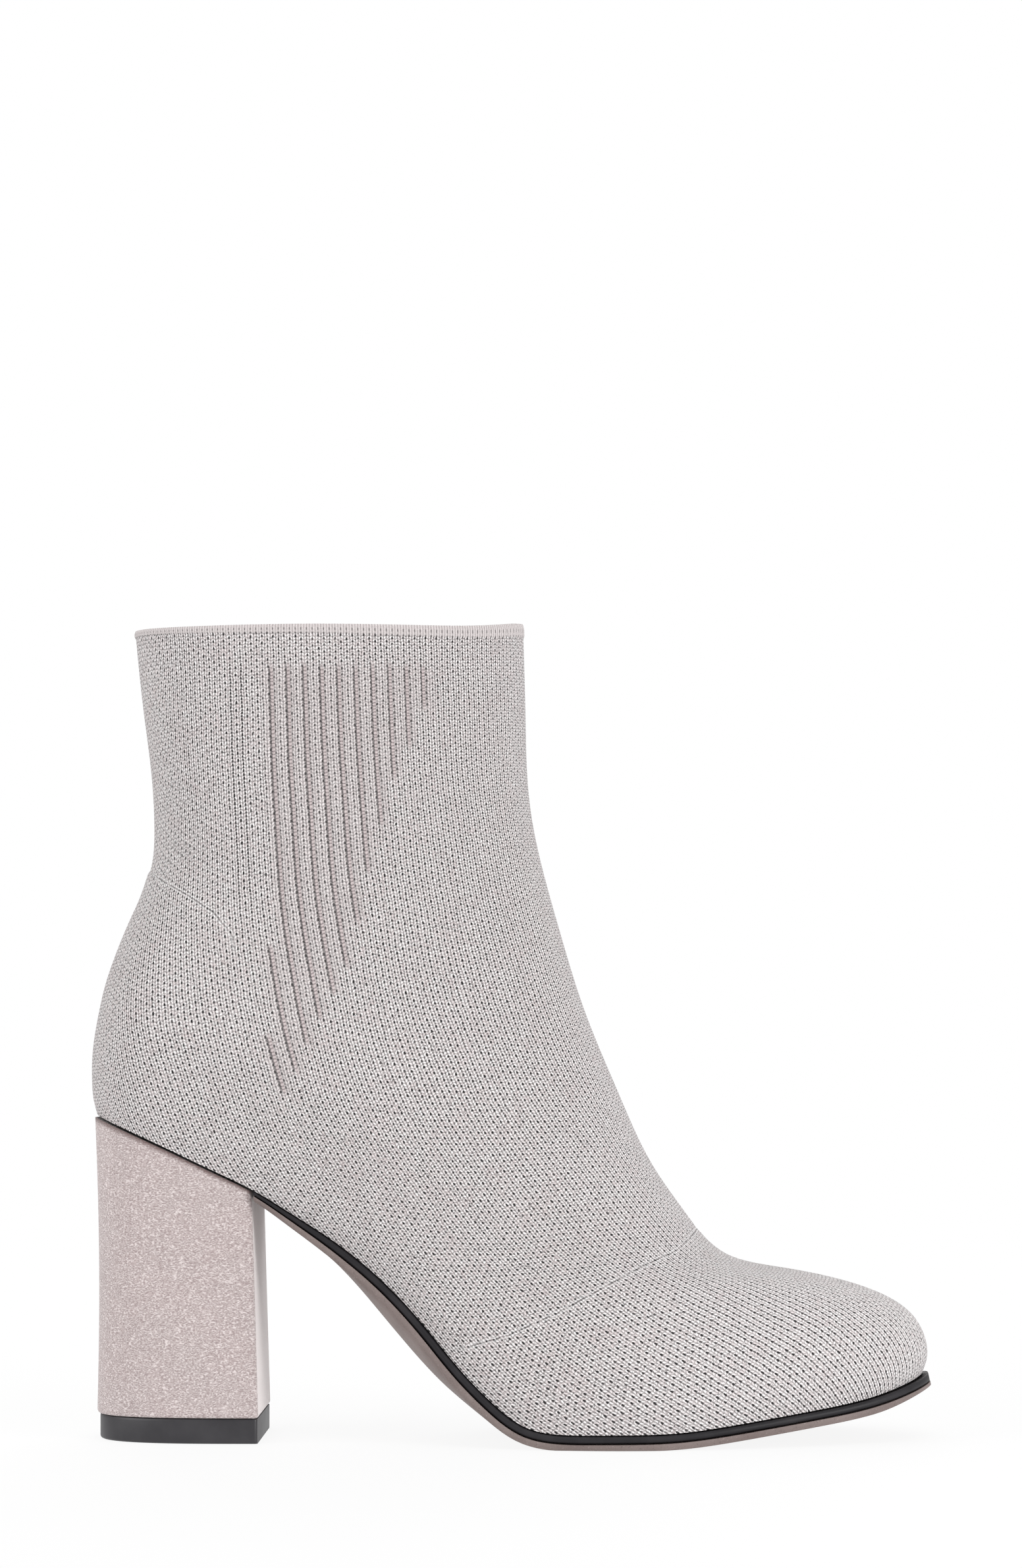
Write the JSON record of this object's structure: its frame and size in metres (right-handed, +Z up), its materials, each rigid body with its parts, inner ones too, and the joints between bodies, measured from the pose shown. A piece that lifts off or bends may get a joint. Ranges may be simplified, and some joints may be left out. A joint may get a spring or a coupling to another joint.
{
  "type": "block heel ankle boot",
  "caption": "Knitted pull-on ankle boot for the right foot, with a covered block heel, a black edge band and a cambered outsole. Hollow and open at the collar.",
  "frame": {"origin": "centre of the heel lift's outline on the floor", "axes": "+X to the toe, +Y to the inner side of the right foot, +Z up"},
  "size_m": [0.2198, 0.0805, 0.2122],
  "materials": {
    "knit": "light grey marl knit with fine dark gaps",
    "insole_board": "plain woven lining cloth",
    "edge_band": "black, slightly glossy",
    "sole_rubber": "taupe, matt, fine speckle",
    "heel_cover": "pinkish grey suede-like cloth with short nap",
    "lift_rubber": "black, satin"
  },
  "bodies": {
    "root": {"upper": "knit", "insole": "insole_board", "welt": "edge_band", "outsole": "sole_rubber", "heel": "heel_cover", "heel_lift": "lift_rubber"}
  },
  "joints": []
}
